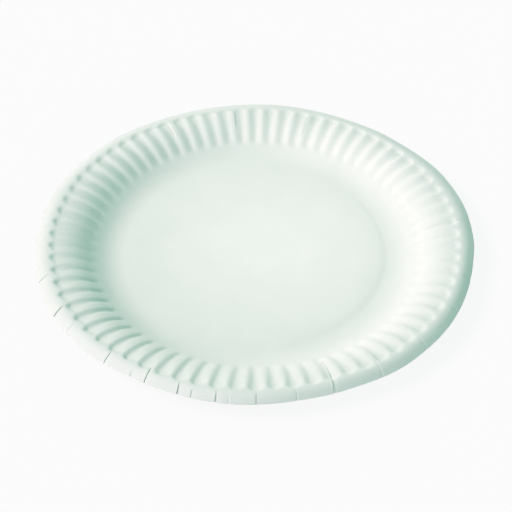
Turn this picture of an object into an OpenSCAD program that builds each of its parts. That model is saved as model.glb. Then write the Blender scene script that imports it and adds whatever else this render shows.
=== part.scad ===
// Round disposable plate, pressed in one piece from a disc of paperboard: a flat centre
// raised a little inside a foot ring, a cove, a fluted wall and a lip that turns down.
// Frame: +Z up, origin on the plate's axis, in the plane that the foot ring stands on.

/* [Plate] */
// Diameter over the lip
plate_d = 230; // [190:1:280]
// Height of the crest above the standing plane
plate_h = 12.5; // [8:0.1:20]
// Thickness of the paperboard
board_t = 0.45; // [0.3:0.05:0.8]

/* [Floor] */
// Diameter of the flat centre
floor_d = 132; // [100:1:150]
// Height of the centre above the foot ring
floor_rise = 0.4; // [0.1:0.05:0.8]
// Width of the step from the centre down to the foot ring
step_w = 3.5; // [2:0.5:6]
// Width of the flat foot ring
foot_w = 1.5; // [1:0.5:6]

/* [Wall] */
// Radius of the cove between the foot ring and the wall
cove_r = 26; // [12:1:32]
// Radius of the shoulder between the wall and the crest
shoulder_r = 27; // [12:1:32]
// Width of the flat crest
crest_w = 2; // [1:0.5:4]

/* [Flutes] */
// Flutes round the wall
flute_count = 72; // [48:6:90]
// Depth of a flute at its upper end, from crest to trough
head_depth = 0.85; // [0.4:0.05:1.5]
// Depth of a flute at its lower end
toe_depth = 0.45; // [0.2:0.05:1.5]
// Radial length of a flute
flute_l = 23.5; // [15:1:27]
// Radial length over which the upper end of a flute runs out
head_run = 2.2; // [1.5:0.1:5]
// Radial length over which the lower end of a flute runs out
toe_run = 4; // [2:0.5:6]

/* [Lip] */
// Width of the lip, from the crest to the cut edge
lip_w = 8; // [5:0.5:12]
// Radius of the bend between the crest and the lip
lip_r = 9; // [3:0.5:11]
// Slope of the lip at its cut edge, in degrees below the horizontal
lip_slope = 27; // [15:1:45]

/* [Gathers] */
// Height at the cut edge of the largest lap, where the lip's spare board is folded over itself
lap_h = 0.4; // [0:0.05:0.6]
// Width at the cut edge of the step beside a lap
lap_step = 0.4; // [0.2:0.05:1]

/* [Hidden] */

// Rings of facets: columns round the plain rings, round the lip and round the fluted rings
plain_n = flute_count;
lip_n = 2 * flute_count;
flute_n = 6 * flute_count;
cove_rings = 3;
wall_rings = 3;
roll_rings = 2;

// Gathers of the lip: azimuth, and height as a share of the largest, which is above 0 where the board
// on the clockwise side lies on top. They keep two columns of the lip apart from one another.
gathers = [
    [196.5, 0.6], [209.5, 1], [230.5, 0.9], [241.5, 0.9], [251, 1], [261, 1], [271, 0.7],
    [281, -0.7], [289, 1], [303.5, -0.7], [318, 0.4], [344, 0.7], [6, 0.5]
];

// Radii of the section at the middle of the board, from the axis outwards
floor_x = floor_d / 2;
foot_in = floor_x + step_w;
foot_out = foot_in + foot_w;
edge_x = plate_d / 2 - board_t / 2 * sin(lip_slope);
crest_out = plate_d / 2 - lip_w;
crest_in = crest_out - crest_w;
toe_in = crest_out - flute_l;
toe_out = toe_in + toe_run;
head_in = crest_out - head_run;

// Heights of the section, and the wall's run and rise between the foot ring and the crest
foot_z = board_t / 2;
crest_z = plate_h - board_t / 2;
run = crest_in - foot_out;
rise = crest_z - foot_z;

// The cove and the shoulder are limited by the wall that they share, which is their common tangent
bend_fit = min(1, (run * run + rise * rise) / (2 * rise * (cove_r + shoulder_r)));
cove_bend = cove_r * bend_fit;
shoulder_bend = shoulder_r * bend_fit;
bends = cove_bend + shoulder_bend;
wall_slope = atan2(rise - bends, run) + asin(min(1, bends / norm([run, rise - bends])));
cove_x = foot_out + cove_bend * sin(wall_slope);
shoulder_x = crest_in - shoulder_bend * sin(wall_slope);
roll_x = crest_out + lip_r * sin(lip_slope);

// Slope of the section at radius x, in degrees
function slope_at(x) =
    x <= foot_out ? 0
    : x < cove_x ? asin((x - foot_out) / cove_bend)
    : x <= shoulder_x ? wall_slope
    : x < crest_in ? asin((crest_in - x) / shoulder_bend)
    : x <= crest_out ? 0
    : x < roll_x ? -asin((x - crest_out) / lip_r)
    : -lip_slope;

// Height of the section at radius x
function height_at(x) =
    x <= floor_x ? foot_z + floor_rise
    : x <= foot_in ? foot_z + floor_rise * (foot_in - x) / step_w
    : x <= foot_out ? foot_z
    : x < cove_x ? foot_z + cove_bend * (1 - cos(slope_at(x)))
    : x <= shoulder_x ? foot_z + cove_bend * (1 - cos(wall_slope)) + (x - cove_x) * tan(wall_slope)
    : x < crest_in ? crest_z - shoulder_bend * (1 - cos(slope_at(x)))
    : x <= crest_out ? crest_z
    : x < roll_x ? crest_z - lip_r * (1 - cos(slope_at(x)))
    : crest_z - lip_r * (1 - cos(lip_slope)) - (x - roll_x) * tan(lip_slope);

// Depth of the flutes at radius x
function depth_at(x) =
    x <= toe_in || x >= crest_out ? 0
    : x < toe_out ? toe_depth * (x - toe_in) / toe_run
    : x <= head_in ? toe_depth + (head_depth - toe_depth) * (x - toe_out) / (head_in - toe_out)
    : head_depth * (crest_out - x) / head_run;

// Lip column that lies clockwise of gather g before the columns are moved, and half of the step in degrees
function column_of(g) = floor(g[0] / 360 * lip_n);
half_step = lap_step / (PI * plate_d) * 180;

// Gathers that have column i of the lip on their side s, which is 0 clockwise and 1 the other way
function gathers_at(i, s) = [for (g = gathers) if ((column_of(g) + s) % lip_n == i) g];

// Share of a lap that is reached at radius x
function lap_share(x) = (x - crest_out) / (edge_x - crest_out);

// Angle of column i out of n on ring x: over the bend of the lip, the two that are nearest to a gather
// close in on its step
function column_angle(x, i, n) =
    let (plain = 360 * i / n,
         near = x <= crest_out ? 0 : min(1, (x - crest_out) / (roll_x - crest_out)),
         beside = concat(
             [for (g = gathers_at(i, 0)) g[0] - half_step],
             [for (g = gathers_at(i, 1)) g[0] + half_step]
         ))
    near > 0 && len(beside) > 0 ? plain + near * (beside[0] - plain) : plain;

// Depth by which column i of ring x lies under a lap
function lap_at(x, i) =
    x <= crest_out ? 0
    : lap_h * lap_share(x) * max([
        0,
        for (g = gathers_at(i, 0)) -g[1],
        for (g = gathers_at(i, 1)) g[1]
    ]);

// Each ring is [radius, columns]
rings = concat(
    [[floor_x, plain_n], [foot_in, plain_n]],
    [for (k = [0 : cove_rings]) [foot_out + (toe_in - foot_out) * k / cove_rings, plain_n]],
    [for (k = [0 : wall_rings]) [toe_out + (head_in - toe_out) * k / wall_rings, flute_n]],
    [[crest_out, lip_n]],
    [for (k = [1 : roll_rings]) [crest_out + (roll_x - crest_out) * k / roll_rings, lip_n]],
    [[edge_x, lip_n]]
);

// Point of one face of the board, at column i out of n on ring x: side is 1 above and -1 below.
// Flutes and laps sink the whole board along the section's normal, flutes by nothing at their ridges.
function board_point(x, i, n, side) =
    let (a = column_angle(x, i, n),
         off = side * board_t / 2 - depth_at(x) * (1 + cos(flute_count * a)) / 2 - lap_at(x, i),
         r = x - off * sin(slope_at(x)))
    [r * cos(a), r * sin(a), height_at(x) + off * cos(slope_at(x))];

function face_points(side) = concat(
    [[0, 0, height_at(0) + side * board_t / 2]],
    [for (ring = rings) for (i = [0 : ring[1] - 1]) board_point(ring[0], i, ring[1], side)]
);

// Index of the first point of ring k within one face, whose point 0 is its centre
function first(k) = k == 0 ? 1 : first(k - 1) + rings[k - 1][1];

// Triangles between ring k with few columns and ring m with a whole multiple of them
function stitch(k, m, base, flip) =
    let (few = base + first(k), many = base + first(m), n = rings[k][1], all = rings[m][1], times = all / n)
    [for (i = [0 : n - 1])
        let (a = few + i, b = few + (i + 1) % n, start = i * times, half = floor((times + i % 2) / 2))
        for (t = concat([[a, many + (start + half) % all, b]],
                        [for (j = [0 : times - 1])
                            [j < half ? a : b, many + start + j, many + (start + j + 1) % all]]))
            flip ? [t[0], t[2], t[1]] : t];

// All triangles of one face of the board
function skin(base, up) = concat(
    [for (i = [0 : plain_n - 1])
        let (a = base + 1 + i, b = base + 1 + (i + 1) % plain_n) up ? [base, b, a] : [base, a, b]],
    [for (k = [0 : len(rings) - 2])
        let (widens = rings[k + 1][1] >= rings[k][1])
        each stitch(widens ? k : k + 1, widens ? k + 1 : k, base, up == widens)]
);

// The cut edge, between the outermost rings of the two faces
function cut_edge(upper, lower) =
    [for (i = [0 : lip_n - 1])
        let (j = (i + 1) % lip_n)
        each [[upper + i, upper + j, lower + i], [upper + j, lower + j, lower + i]]];

module plate() {
    face_n = len(face_points(1));
    edge = first(len(rings) - 1);
    color("mintcream")
        polyhedron(
            points = concat(face_points(1), face_points(-1)),
            faces = concat(skin(0, true), skin(face_n, false), cut_edge(edge, face_n + edge)),
            convexity = 6
        );
}

plate();
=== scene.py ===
import math
import random

import bmesh
import bpy
from mathutils import Matrix, Vector


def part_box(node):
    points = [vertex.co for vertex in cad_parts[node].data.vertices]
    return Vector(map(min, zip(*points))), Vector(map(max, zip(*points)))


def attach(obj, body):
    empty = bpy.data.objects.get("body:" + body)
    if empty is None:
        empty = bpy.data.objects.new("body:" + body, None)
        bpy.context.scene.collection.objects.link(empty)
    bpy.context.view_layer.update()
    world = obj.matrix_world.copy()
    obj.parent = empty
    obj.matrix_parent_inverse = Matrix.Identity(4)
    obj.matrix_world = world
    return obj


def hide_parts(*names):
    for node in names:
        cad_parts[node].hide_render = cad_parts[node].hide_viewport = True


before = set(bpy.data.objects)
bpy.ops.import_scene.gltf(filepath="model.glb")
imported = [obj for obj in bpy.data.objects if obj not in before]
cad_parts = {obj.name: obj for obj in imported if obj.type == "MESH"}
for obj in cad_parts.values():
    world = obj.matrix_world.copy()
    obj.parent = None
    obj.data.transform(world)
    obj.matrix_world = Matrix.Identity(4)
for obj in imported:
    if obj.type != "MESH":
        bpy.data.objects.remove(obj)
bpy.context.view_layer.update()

mm = 0.001  # everything below is in millimetres and degrees, and meshes are scaled by this at the end


# The pressed board, drawn along the middle of its thickness

board = {
    "thick": 0.45,
    "floorR": 66.1,  # flat centre
    "floorRise": 0.4,  # of the centre above the foot ring
    "stepWidth": 3.6,
    "footWidth": 1.1,
    "coveR": 26.0,  # bend from the foot ring into the wall
    "shoulderR": 27.0,  # bend from the wall into the crest
    "crestWidth": 2.0,
    "outOfRound": 1.3,  # how far the mean edge lies inside the widest place
    "lipWidth": 8.4,
    "lipR": 9.0,  # bend from the crest into the lip
    "lipSlope": 27.0,
    "edgeR": 0.5,  # last bend of the lip, down to the cut edge
    "edgeSlope": 68.0,
    "edgeBevel": 0.05,
    "bevelAngle": 50.0,  # edges sharper than this are bevelled
    "dishColumns": 216,
    "rimColumns": 864,  # 12 to a flute
    "joinR": 79.5,  # in the cove, where the dish with its few columns ends
    "joinGap": 1.2,  # from there to the rim with its many columns
    "closeSlope": 5.0,  # below this slope the shoulder is drawn in closer steps
    "steps": {  # in which each part of the section is drawn
        "centre": 7, "step": 4, "foot": 2, "lowCove": 6, "highCove": 4, "wall": 3, "shoulder": 9, "shoulderTop": 5,
        "crest": 5, "lipBend": 6, "lip": 6, "edgeBend": 3,
    },
    "weld": 0.001,  # points closer than this are merged
}

_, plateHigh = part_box("plate")
plateR = plateHigh.x / mm
footZ = board["thick"] / 2
crestZ = plateHigh.z / mm - board["thick"] / 2
footOut = board["floorR"] + board["stepWidth"] + board["footWidth"]
crestOut = plateR - board["lipWidth"]
crestIn = crestOut - board["crestWidth"]
edgeSine = math.sin(math.radians(board["edgeSlope"]))
cutEdgeR = plateR - board["outOfRound"] - board["thick"] / 2 * edgeSine
edgeRun = board["edgeR"] * (edgeSine - math.sin(math.radians(board["lipSlope"])))

# The wall is the common tangent of the cove and the shoulder
wallRunIn = crestIn - footOut
wallRise = crestZ - footZ
bends = board["coveR"] + board["shoulderR"]
wallSlope = math.degrees(
    math.atan2(wallRise - bends, wallRunIn) + math.asin(bends / math.hypot(wallRunIn, wallRise - bends))
)
wallRun = wallRunIn - bends * math.sin(math.radians(wallSlope))

# Lists of (azimuth, value) hold what differs round the plate
flutes = {
    "count": 72,
    "outerR": [  # where the grooves end, near the crest
        (0, 107.3), (30, 107.3), (60, 108.4), (90, 108.6), (122, 108.8), (142, 108.1), (165, 107.5),
        (190, 107.4), (215, 107.8), (240, 108.3), (265, 107.8), (300, 107.8), (330, 107.4),
    ],
    "innerR": [(0, 83.6), (180, 83.5)],  # where they end, near the foot ring
    "turn": [  # how far they are turned about the axis
        (0, 0.55), (30, 0.1), (60, 0.1), (90, 0.15), (120, 0.2), (150, 0.15), (180, 0.45), (210, 0.85), (240, 0.6),
        (270, 0.35), (300, 0.4), (330, 0.45),
    ],
    "headDepth": [  # at their outer ends
        (0, 1.1), (30, 1.15), (60, 1.0), (90, 0.9), (120, 1.07), (150, 1.3), (180, 1.4), (210, 1.4), (240, 1.3),
        (270, 1.05), (300, 1.0), (330, 1.0),
    ],
    "toeDepth": [  # at their inner ends
        (0, 0.55), (30, 0.55), (60, 0.56), (90, 0.57), (120, 0.5), (150, 0.24), (180, 0.4), (210, 0.5), (240, 0.38),
        (270, 0.28), (300, 0.3), (330, 0.36),
    ],
    "skew": [  # how much steeper one side is than the other
        (0, 0.1), (90, 0.05), (120, 0.2), (150, 0.3), (180, 0.55), (200, 0.7), (230, 0.7), (250, 0.45), (270, 0.2),
        (320, 0.1),
    ],
    "headLength": 4.4,  # over which the rounded upper end falls away
    "headCorner": 2.0,  # 2 makes that end elliptic, more makes it squarer
    "headBroad": 0.6,  # how much broader a groove's bottom is at its upper end
    "skewBroad": 1.6,  # and how much more so where one side is steeper
    "broadLength": 9.0,  # over which it broadens
    "toeRun": 3.2,  # over which the lower end falls away
    "headScatter": 0.35,
    "depthScatter": 0.06,
    "seed": 11,
}

# Gathers where the spare board of the rim was folded over itself. Each place is the azimuth at the edge, the
# radii where it starts and ends (120 is past the edge), the height of the step and its lean towards the inner
# end. Above 0 the board on the clockwise side lies on top, below 0 the board on the other side.
gathers = {
    "fadeIn": 2.5,
    "lapWidth": 1.6,  # over which the board that lies below rises again
    "curl": 0.35,  # how far the edge of the board on top stands up, as a share of the height
    "curlWidth": 0.7,
    # painted shade beside each step of a gather, over this width
    "shadeWidth": 0.3,
    "fullShade": 0.4,  # height from which the painted shade beside a step is at its darkest
    "notch": 0.4,  # how far the edge is drawn in, as a share of the height
    "notchWidth": 1.2,
    "notchStart": 110.0,  # radius from which it grows
    "notchRun": 4.0,
    "columnPull": 0.76,  # how far the columns beside a step close in on it
    "columnReach": 2.1,  # and over what width
    "columnLimit": 8.4,  # beyond which no column is moved
    "moveIn": 2.0,  # how far inside its start the columns begin to move
    "places": [
        (-169.3, 110.8, 120, 0.09, 0.0),
        (-163.0, 107.4, 120, 0.24, -0.9),
        (-150.1, 107.0, 120, 0.40, -1.1),
        (-143.9, 107.8, 120, 0.14, -0.1),
        (-129.8, 106.6, 120, 0.34, 0.2),
        (-121.8, 110.0, 120, 0.20, -0.3),
        (-117.9, 104.7, 120, 0.36, 0.1),
        (-109.1, 107.8, 120, 0.46, -0.1),
        (-105.7, 109.3, 120, 0.26, 0.1),
        (-99.7, 108.0, 120, 0.42, 0.2),
        (-96.0, 108.4, 120, -0.16, -0.2),
        (-89.7, 107.6, 120, 0.18, 0.0),
        (-79.5, 107.3, 120, -0.26, 0.0),
        (-70.7, 92.5, 120, 0.46, 1.6),
        (-57.1, 102.0, 120, -0.17, 0.4),
        (-42.6, 107.4, 120, -0.14, 0.1),
        (-27.4, 109.0, 120, -0.14, -0.2),
        (-15.8, 108.4, 120, 0.38, -0.3),
        (5.8, 90.5, 120, 0.20, -0.2),
        (39.2, 97.9, 106.8, 0.32, -0.3),
        (73.5, 90.0, 106.2, 0.32, -0.8),
        (96.4, 93.0, 105.0, -0.14, 0.9),
        (118.6, 94.4, 107.3, 0.26, 0.2),
    ],
}

# Height of the floor's rim above the middle of the floor, by azimuth
floorLevel = [
    (0, 0.1), (30, -0.02), (60, -0.25), (90, -0.33), (120, -0.33), (180, -0.25), (240, -0.33), (270, -0.28),
    (300, -0.08), (330, 0.08),
]

# Broad bulges of the pressed sheet: radii where each starts, is highest and ends, and its height by azimuth
bulges = [
    (46, 67, 90, [(0, 0.0), (90, 0.0), (120, 0.05), (150, 0.35), (180, 0.45), (205, 0.35), (230, 0.1), (255, 0.0)]),
    (71, 91, 107, [
        (0, -0.5), (25, -0.4), (45, -0.4), (75, -0.1), (100, 0.0), (250, 0.0), (280, -0.1), (300, -0.6), (315, -0.7),
        (340, -0.6),
    ]),
]

# The lip is turned down further here and there, and the cut edge lies outside or inside a true circle
rimDrift = {
    "turn": [
        (0, 4), (30, -2), (60, -6), (95, -8), (120, -5), (150, 3), (180, 6), (210, 8), (240, 8), (270, 14), (300, 15),
        (330, 11),
    ],
    "start": 99.0,  # radius from which the edge's drift grows
    "points": [
        (0, 1.4), (12, 2.0), (24, 1.6), (48, -0.9), (60, -1.7), (84, -0.9), (100, -1.4), (116, -0.9), (140, 1.1),
        (158, 2.0), (180, 1.4), (204, 1.7), (222, 0.8), (240, -1.4), (264, -1.3), (282, -2.3), (292, -1.9),
        (311, 0.2), (330, 0.8), (350, 0.5),
    ],
}


def ease(t):
    t = min(max(t, 0.0), 1.0)
    return t * t * (3 - 2 * t)


def drawLine(bm, pen, dx, slope, steps):
    # the section goes on outwards by dx, in straight steps
    step = Vector((dx, 0, dx * math.tan(math.radians(slope)))) / steps
    for _ in range(steps):
        pen = bmesh.ops.extrude_vert_indiv(bm, verts=[pen])["verts"][0]
        pen.co += step
    return pen


def drawArc(bm, pen, radius, slopeFrom, slopeTo, steps):
    # the section bends from one slope to another
    side = 1 if slopeTo > slopeFrom else -1
    heading = math.radians(slopeFrom)
    centre = pen.co + side * radius * Vector((-math.sin(heading), 0, math.cos(heading)))
    turned = bmesh.ops.spin(
        bm,
        geom=[pen],
        cent=centre,
        axis=(0, -1, 0),
        angle=math.radians(slopeTo - slopeFrom),
        steps=steps,
    )
    return [part for part in turned["geom_last"] if isinstance(part, bmesh.types.BMVert)][0]


def spinSection(bm, columns):
    bmesh.ops.spin(
        bm,
        geom=bm.verts[:] + bm.edges[:],
        cent=(0, 0, 0),
        axis=(0, 0, 1),
        angle=math.tau,
        steps=columns,
        use_merge=True,
    )
    bmesh.ops.remove_doubles(bm, verts=bm.verts[:], dist=board["weld"])


def slopeAtCove(x):
    return math.degrees(math.asin((x - footOut) / board["coveR"]))


def drawDish():
    # flat centre, step and foot ring, and the lower part of the cove
    steps = board["steps"]
    bm = bmesh.new()
    pen = bm.verts.new((0, 0, footZ + board["floorRise"]))
    pen = drawLine(bm, pen, board["floorR"], 0, steps["centre"])
    stepSlope = -math.degrees(math.atan2(board["floorRise"], board["stepWidth"]))
    pen = drawLine(bm, pen, board["stepWidth"], stepSlope, steps["step"])
    pen = drawLine(bm, pen, board["footWidth"], 0, steps["foot"])
    drawArc(bm, pen, board["coveR"], 0, slopeAtCove(board["joinR"]), steps["lowCove"])
    spinSection(bm, board["dishColumns"])
    return bm


def drawRim():
    # upper part of the cove, wall, shoulder, crest and lip
    steps = board["steps"]
    startR = board["joinR"] + board["joinGap"]
    startSlope = slopeAtCove(startR)
    bm = bmesh.new()
    pen = bm.verts.new((startR, 0, footZ + board["coveR"] * (1 - math.cos(math.radians(startSlope)))))
    pen = drawArc(bm, pen, board["coveR"], startSlope, wallSlope, steps["highCove"])
    pen = drawLine(bm, pen, wallRun, wallSlope, steps["wall"])
    pen = drawArc(bm, pen, board["shoulderR"], wallSlope, board["closeSlope"], steps["shoulder"])
    pen = drawArc(bm, pen, board["shoulderR"], board["closeSlope"], 0, steps["shoulderTop"])
    pen = drawLine(bm, pen, board["crestWidth"], 0, steps["crest"])
    pen = drawArc(bm, pen, board["lipR"], 0, -board["lipSlope"], steps["lipBend"])
    pen = drawLine(bm, pen, cutEdgeR - edgeRun - pen.co.x, -board["lipSlope"], steps["lip"])
    drawArc(bm, pen, board["edgeR"], -board["lipSlope"], -board["edgeSlope"], steps["edgeBend"])
    spinSection(bm, board["rimColumns"])
    return bm


def valueAt(points, azimuth):
    # smooth between the points of a list, all the way round
    azimuth %= 360
    for i, (a, here) in enumerate(points):
        b, there = points[(i + 1) % len(points)]
        if b <= a:
            b += 360
        if a <= azimuth <= b:
            t = (azimuth - a) / (b - a)
            return here + (there - here) * (1 - math.cos(math.pi * t)) / 2
    return points[0][1]


def bulgeAt(r, azimuth):
    height = 0.0
    for start, top, end, share in bulges:
        if start < r < end:
            height += valueAt(share, azimuth) * ease((r - start) / (top - start)) * ease((end - r) / (end - top))
    return height


def grooveScatter():
    dice = random.Random(flutes["seed"])
    return [(dice.uniform(-1, 1), dice.uniform(-1, 1)) for _ in range(flutes["count"])]


def fluteDepth(r, azimuth, scatter):
    turns = (azimuth - valueAt(flutes["turn"], azimuth)) / 360 * flutes["count"]
    deeper, longer = scatter[round(turns) % flutes["count"]]
    inner = valueAt(flutes["innerR"], azimuth)
    outer = valueAt(flutes["outerR"], azimuth) + flutes["headScatter"] * longer
    if r <= inner or r >= outer:
        return 0.0
    # 0 at the bottom of the groove and 1 along its outline, which is rounded at the upper end; the side that
    # comes first, going counterclockwise, is the steeper one
    corner = flutes["headCorner"]
    phase = math.tau * (turns - round(turns))
    skew = valueAt(flutes["skew"], azimuth)
    aside = abs(phase + skew * (1 + math.cos(phase))) / math.pi
    beyond = max(0.0, (r - outer) / flutes["headLength"] + 1)
    off = min(1.0, (aside ** corner + beyond ** corner) ** (1 / corner))
    broad = flutes["headBroad"] * (1 + flutes["skewBroad"] * skew)
    off **= 1 + broad * ease((r - outer) / (flutes["broadLength"] * (1 + skew)) + 1)
    toe = valueAt(flutes["toeDepth"], azimuth)
    head = valueAt(flutes["headDepth"], azimuth)
    depth = (toe + (head - toe) * (r - inner) / (outer - inner)) * (1 + flutes["depthScatter"] * deeper)
    return depth * (0.5 + 0.5 * math.cos(math.pi * off)) * ease((r - inner) / flutes["toeRun"])


def turnBetween(a, b):
    return (a - b + 180) % 360 - 180


def gatherPlaces():
    # a step runs midway between two columns, which are moved to where it is wanted
    columnStep = 360 / board["rimColumns"]
    return [((math.floor(place[0] / columnStep) + 0.5) * columnStep, *place) for place in gathers["places"]]


def gatherAt(r, azimuth, places):
    # azimuth that the board here is moved to, how far it sinks, how dark the painted shade beside its step is, how
    # far it is drawn in
    turned, sink, paintedFoldShade, pull = azimuth, 0.0, 0.0, 0.0
    arc = math.radians(r)  # millimetres to a degree at this radius
    for middle, place, inner, end, height, lean in places:
        across = turnBetween(azimuth, middle) * arc
        if abs(across) > gathers["columnLimit"] or r < inner - gathers["moveIn"]:
            continue
        reach = ease((r - inner + gathers["moveIn"]) / gathers["fadeIn"])
        near = math.exp(-((across / gathers["columnReach"]) ** 2))
        drawn = across * (1 - gathers["columnPull"] * near * reach)
        turned += (drawn - across) / arc + near * (place - middle + lean * (plateR - r) / (plateR - inner))
        below = drawn if height > 0 else -drawn
        lap = abs(height) * ease((r - inner) / gathers["fadeIn"]) * ease((end - r) / gathers["fadeIn"])
        if below < 0:
            sink -= lap * gathers["curl"] * math.exp(below / gathers["curlWidth"])
            continue
        sink += lap * math.exp(-below / gathers["lapWidth"])
        # painted shade: the board just under the step is darkened, most at the step itself
        shade = min(1.0, lap / gathers["fullShade"])
        paintedFoldShade = max(paintedFoldShade, shade * math.exp(-((below / gathers["shadeWidth"]) ** 2)))
        notch = lap * gathers["notch"] * math.exp(-below / gathers["notchWidth"])
        pull += notch * ease((r - gathers["notchStart"]) / gathers["notchRun"])
    return turned, sink, paintedFoldShade, pull


def bendLip(r, z, azimuth):
    # the lip turns about the outer line of the crest, and more towards its edge
    if r <= crestOut:
        return r, z
    run, drop = r - crestOut, crestZ - z
    bent = math.radians(valueAt(rimDrift["turn"], azimuth)) * run / (cutEdgeR - crestOut)
    outer = crestOut + run * math.cos(bent) - drop * math.sin(bent)
    return outer, crestZ - max(0.0, run * math.sin(bent) + drop * math.cos(bent))


def pressRim(bm):
    # sinks the flutes, laps the gathers and lets the edge wander, all on the spun rim
    scatter = grooveScatter()
    places = gatherPlaces()
    bm.normal_update()
    # painted shade beside the steps of the gathers, kept on each point for the board's material
    paintedFoldShades = bm.verts.layers.float.new("paintedFoldShade")
    for vert in bm.verts:
        x, y, z = vert.co
        r = math.hypot(x, y)
        azimuth = math.degrees(math.atan2(y, x))
        outward = Vector((x, y, 0)) / r
        normal = vert.normal.copy()
        if normal.z < 0:
            normal.negate()
        turned, sink, paintedFoldShade, pull = gatherAt(r, azimuth, places)
        sink += fluteDepth(r, turned, scatter)
        outer, z = bendLip(r, z + bulgeAt(r, azimuth), turned)
        drift = ease((r - rimDrift["start"]) / (plateR - rimDrift["start"]))
        outer += valueAt(rimDrift["points"], turned) * drift - pull
        pressed = outward * outer + Vector((0, 0, z)) - normal * sink
        vert.co = Matrix.Rotation(math.radians(turned - azimuth), 3, "Z") @ pressed
        vert.co.z = min(vert.co.z, crestZ)  # nothing stands above the crest
        vert[paintedFoldShades] = paintedFoldShade


def levelFloor(bm):
    # the floor is not pressed quite level
    for vert in bm.verts:
        x, y, z = vert.co
        r = math.hypot(x, y)
        outside = ease((board["floorR"] + board["stepWidth"] - r) / board["stepWidth"])
        inside = min(1.0, r / board["floorR"]) ** 2
        azimuth = math.degrees(math.atan2(y, x))
        vert.co.z += valueAt(floorLevel, azimuth) * inside * outside + bulgeAt(r, azimuth)


def joinMeshes(dish, rim):
    # one mesh of both, bridged at the ring where their columns meet
    spare = bpy.data.meshes.new("spare")
    rim.to_mesh(spare)
    rim.free()
    dish.from_mesh(spare)
    bpy.data.meshes.remove(spare)
    openEdges = [
        e for e in dish.edges if e.is_boundary and all(math.hypot(v.co.x, v.co.y) < crestIn for v in e.verts)
    ]
    bmesh.ops.bridge_loops(dish, edges=openEdges)
    print("dish and rim joined over", len(openEdges), "open edges")
    return dish


def makePlate():
    dish = drawDish()
    levelFloor(dish)
    print("dish drawn:", len(dish.faces), "faces")
    rim = drawRim()
    pressRim(rim)
    print("rim drawn and pressed:", len(rim.faces), "faces")
    bm = joinMeshes(dish, rim)
    bmesh.ops.recalc_face_normals(bm, faces=bm.faces[:])
    if sum(face.normal.z for face in bm.faces) < 0:
        bmesh.ops.reverse_faces(bm, faces=bm.faces[:])
    bmesh.ops.scale(bm, vec=(mm, mm, mm), verts=bm.verts[:])
    for face in bm.faces:
        face.smooth = True
    mesh = bpy.data.meshes.new("pressedPlate")
    bm.to_mesh(mesh)
    bm.free()
    piece = bpy.data.objects.new("pressed_plate", mesh)
    bpy.context.scene.collection.objects.link(piece)
    wall = piece.modifiers.new("boardThickness", "SOLIDIFY")
    wall.thickness = board["thick"] * mm
    wall.offset = 0
    wall.material_offset_rim = 1  # the cut edge has the second material
    corner = piece.modifiers.new("cutCorner", "BEVEL")
    corner.width = board["edgeBevel"] * mm
    corner.segments = 2
    corner.limit_method = "ANGLE"
    corner.angle_limit = math.radians(board["bevelAngle"])
    corner.harden_normals = True
    return piece


# Materials

paper = {
    "colour": (0.82, 0.885, 0.835),
    "deep": (0.775, 0.85, 0.80),
    "rawColour": (0.70, 0.75, 0.70),
    # painted shade beside the steps of the gathers
    "paintedFoldShadeColour": (0.42, 0.50, 0.46),
    # noises, each with its scale to a metre, detail and roughness
    "cloud": (55.0, 3, 0.5),
    "pulp": (1100.0, 4, 0.6),
    "fibre": (1.0, 2, 0.5),
    "grain": (2600.0, 4, 0.7),
    "fibreStretch": (700.0, 3200.0, 3200.0),
    "noiseSpan": (0.3, 0.7),  # the part of a noise that is used
    "cloudShare": 0.5,  # of the tone, the rest is pulp
    "pulpShare": 0.6,  # of the relief, the rest is fibre
    "roughness": 0.82,
    "roughSpread": 0.05,
    "rawRoughness": 0.93,
    "specular": 0.3,
    "rawSpecular": 0.2,
    "bumpHeight": 0.06,
    "rawBumpHeight": 0.09,
}


def newMaterial(name):
    material = bpy.data.materials.new(name)
    material.use_nodes = True
    tree = material.node_tree
    tree.nodes.clear()
    return material, tree


def addNode(tree, kind, **sockets):
    node = tree.nodes.new(kind)
    for name, value in sockets.items():
        node.inputs[name].default_value = value
    return node


def feed(tree, value, socket):
    # with the output of another node, or with a plain colour or number
    if isinstance(value, bpy.types.NodeSocket):
        tree.links.new(value, socket)
    elif isinstance(value, tuple):
        socket.default_value = (*value, 1)
    else:
        socket.default_value = value


def addNoise(tree, vector, scale, detail, roughness):
    noise = addNode(tree, "ShaderNodeTexNoise", Scale=scale, Detail=detail, Roughness=roughness)
    tree.links.new(vector, noise.inputs["Vector"])
    return noise.outputs["Fac"]


def addRange(tree, noise, low, high):
    node = tree.nodes.new("ShaderNodeMapRange")
    node.inputs["From Min"].default_value, node.inputs["From Max"].default_value = paper["noiseSpan"]
    node.inputs["To Min"].default_value = low
    node.inputs["To Max"].default_value = high
    tree.links.new(noise, node.inputs["Value"])
    return node.outputs["Result"]


def addMath(tree, kind, first, second):
    node = tree.nodes.new("ShaderNodeMath")
    node.operation = kind
    feed(tree, first, node.inputs[0])
    feed(tree, second, node.inputs[1])
    return node.outputs["Value"]


def addMix(tree, factor, first, second):
    node = tree.nodes.new("ShaderNodeMix")
    node.data_type = "RGBA"
    tree.links.new(factor, node.inputs["Factor"])
    feed(tree, first, node.inputs[6])  # 6 and 7 are the colours
    feed(tree, second, node.inputs[7])
    return node.outputs[2]


def addSurface(tree, colour, roughness, specular, relief, height):
    bump = addNode(tree, "ShaderNodeBump", Strength=1.0, Distance=height * mm)
    tree.links.new(relief, bump.inputs["Height"])
    shader = tree.nodes.new("ShaderNodeBsdfPrincipled")
    shader.inputs["Specular IOR Level"].default_value = specular
    tree.links.new(colour, shader.inputs["Base Color"])
    feed(tree, roughness, shader.inputs["Roughness"])
    tree.links.new(bump.outputs["Normal"], shader.inputs["Normal"])
    output = tree.nodes.new("ShaderNodeOutputMaterial")
    tree.links.new(shader.outputs["BSDF"], output.inputs["Surface"])


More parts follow.
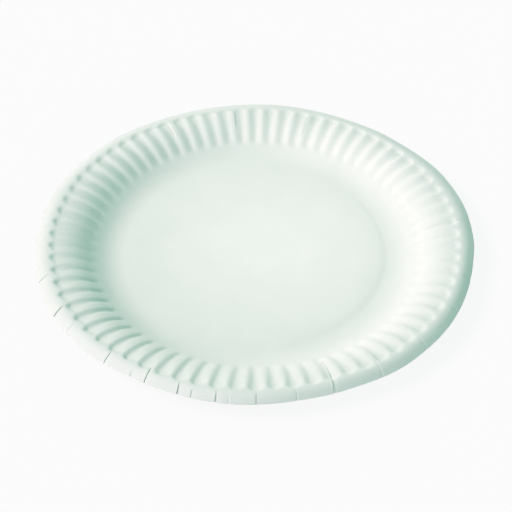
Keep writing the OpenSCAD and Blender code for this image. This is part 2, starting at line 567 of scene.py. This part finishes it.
def makeBoardMaterial():
    material, tree = newMaterial("pulpBoard")
    where = tree.nodes.new("ShaderNodeTexCoord").outputs["Object"]
    stretch = tree.nodes.new("ShaderNodeMapping")
    stretch.inputs["Scale"].default_value = paper["fibreStretch"]
    tree.links.new(where, stretch.inputs["Vector"])
    cloud = addNoise(tree, where, *paper["cloud"])
    pulp = addNoise(tree, where, *paper["pulp"])
    fibre = addNoise(tree, stretch.outputs["Vector"], *paper["fibre"])
    cloudTone = addRange(tree, cloud, 0.0, paper["cloudShare"])
    pulpTone = addRange(tree, pulp, 0.0, 1 - paper["cloudShare"])
    colour = addMix(tree, addMath(tree, "ADD", cloudTone, pulpTone), paper["deep"], paper["colour"])
    # painted shade: the board beside the steps of the gathers is darkened towards its shade colour
    paintedFoldShade = tree.nodes.new("ShaderNodeAttribute")
    paintedFoldShade.attribute_name = "paintedFoldShade"
    colour = addMix(tree, paintedFoldShade.outputs["Fac"], colour, paper["paintedFoldShadeColour"])
    pulpRelief = addMath(tree, "MULTIPLY", pulp, paper["pulpShare"])
    fibreRelief = addMath(tree, "MULTIPLY", fibre, 1 - paper["pulpShare"])
    relief = addMath(tree, "ADD", pulpRelief, fibreRelief)
    middle, spread = paper["roughness"], paper["roughSpread"]
    rough = addRange(tree, pulp, middle - spread, middle + spread)
    addSurface(tree, colour, rough, paper["specular"], relief, paper["bumpHeight"])
    return material


def makeCutEdgeMaterial():
    material, tree = newMaterial("cutBoardEdge")
    where = tree.nodes.new("ShaderNodeTexCoord").outputs["Object"]
    grain = addNoise(tree, where, *paper["grain"])
    colour = addMix(tree, addRange(tree, grain, 0.0, 1.0), paper["rawColour"], paper["deep"])
    addSurface(tree, colour, paper["rawRoughness"], paper["rawSpecular"], grain, paper["rawBumpHeight"])
    return material


plate = makePlate()
plate.data.materials.append(makeBoardMaterial())
plate.data.materials.append(makeCutEdgeMaterial())
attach(plate, "root")
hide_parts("plate")
print("plate modelled:", len(plate.data.polygons), "faces in the middle surface")


# Stage and lights

studio = {
    "floorSize": 4000.0,
    "floorDrop": 0.02,  # below the foot ring
    "floorColour": (0.8, 0.8, 0.8),
    "floorGlow": 0.9,  # share of plain white that the camera sees in the floor
    # the key light comes from the left, fills from the front and the back: azimuth, height, strength, colour
    "suns": {
        "keyLight": (175.0, 38.0, 2.84, (1.0, 0.666, 0.771)),
        "frontFill": (270.0, 14.0, 0.89, (1.0, 0.627, 0.80)),
        "backFill": (90.0, 14.0, 0.73, (1.0, 0.66, 0.78)),
    },
    "sunSpread": 24.0,
    # two weak pools of light on the middle of the plate: place, reach, strength
    "pools": {
        "frontPool": ((8.0, -32.0, 600.0), 106.0, 1.25),
        "backPool": ((8.0, 38.0, 600.0), 106.0, 1.95),
    },
    "poolColour": (1.0, 0.70, 0.76),
    "poolLampR": 30.0,
    "skyStrength": 0.44,
    "skyColour": (0.402, 1.0, 0.80),
}


def whiteForCamera(tree, share, plain, outputKind):
    # what the camera sees is part plain white, and everything else sees the plain shader
    whiteKind = "ShaderNodeEmission" if outputKind == "ShaderNodeOutputMaterial" else "ShaderNodeBackground"
    white = addNode(tree, whiteKind, Color=(1, 1, 1, 1), Strength=1.0)
    cameraShare = addMath(tree, "MULTIPLY", tree.nodes.new("ShaderNodeLightPath").outputs["Is Camera Ray"], share)
    mix = tree.nodes.new("ShaderNodeMixShader")
    tree.links.new(cameraShare, mix.inputs["Fac"])
    tree.links.new(plain, mix.inputs[1])
    tree.links.new(white.outputs[0], mix.inputs[2])
    output = tree.nodes.new(outputKind)
    tree.links.new(mix.outputs["Shader"], output.inputs["Surface"])


def makeFloor():
    bm = bmesh.new()
    bmesh.ops.create_grid(bm, x_segments=1, y_segments=1, size=studio["floorSize"] / 2 * mm)
    bmesh.ops.translate(bm, vec=(0, 0, -studio["floorDrop"] * mm), verts=bm.verts[:])
    mesh = bpy.data.meshes.new("studioFloor")
    bm.to_mesh(mesh)
    bm.free()
    floor = bpy.data.objects.new("studio_floor", mesh)
    bpy.context.scene.collection.objects.link(floor)
    material, tree = newMaterial("studioFloor")
    matte = addNode(tree, "ShaderNodeBsdfDiffuse", Color=(*studio["floorColour"], 1))
    whiteForCamera(tree, studio["floorGlow"], matte.outputs["BSDF"], "ShaderNodeOutputMaterial")
    mesh.materials.append(material)


def makeLights():
    for name, (azimuth, height, strength, colour) in studio["suns"].items():
        sun = bpy.data.lights.new(name, "SUN")
        sun.energy = strength
        sun.angle = math.radians(studio["sunSpread"])
        sun.color = colour
        lamp = bpy.data.objects.new(name, sun)
        turned = Matrix.Rotation(math.radians(azimuth), 4, "Z")
        lamp.matrix_world = turned @ Matrix.Rotation(math.radians(90 - height), 4, "Y")
        bpy.context.scene.collection.objects.link(lamp)
    for name, (place, reach, strength) in studio["pools"].items():
        pool = bpy.data.lights.new(name, "SPOT")
        pool.energy = strength
        pool.color = studio["poolColour"]
        pool.spot_blend = 1.0
        pool.spot_size = 2 * math.atan(reach / place[2])
        pool.shadow_soft_size = studio["poolLampR"] * mm
        lamp = bpy.data.objects.new(name, pool)
        lamp.matrix_world = Matrix.Translation(Vector(place) * mm)
        bpy.context.scene.collection.objects.link(lamp)
    world = bpy.data.worlds.new("softSky")
    world.use_nodes = True
    tree = world.node_tree
    tree.nodes.clear()
    sky = addNode(tree, "ShaderNodeBackground", Color=(*studio["skyColour"], 1), Strength=studio["skyStrength"])
    whiteForCamera(tree, 1.0, sky.outputs["Background"], "ShaderNodeOutputWorld")
    bpy.context.scene.world = world


makeFloor()
makeLights()
print("floor and lights set")


# Camera, at the viewing angle of the photograph

view = {
    "height": 44.205,  # degrees above the floor
    "distance": 661.60,
    "right": 0.415,
    "down": 2.93,
    "roll": 0.197,
    "lens": 87.50,
    "sensorWidth": 36.0,
    "nearest": 10.0,  # that the camera sees
}


def makeCamera():
    tilt = math.radians(view["height"])
    eye = view["distance"] * Vector((0, -math.cos(tilt), math.sin(tilt)))
    eye += Vector((view["right"], 0, 0)) - view["down"] * Vector((0, math.sin(tilt), math.cos(tilt)))
    data = bpy.data.cameras.new("photoCamera")
    data.lens = view["lens"]
    data.sensor_width = view["sensorWidth"]
    data.clip_start = view["nearest"] * mm
    camera = bpy.data.objects.new("photoCamera", data)
    camera.matrix_world = (
        Matrix.Translation(eye * mm)
        @ Matrix.Rotation(math.pi / 2 - tilt, 4, "X")
        @ Matrix.Rotation(math.radians(view["roll"]), 4, "Z")
    )
    bpy.context.scene.collection.objects.link(camera)
    bpy.context.scene.camera = camera


makeCamera()
bpy.context.scene.view_settings.view_transform = "Standard"
print("camera set")
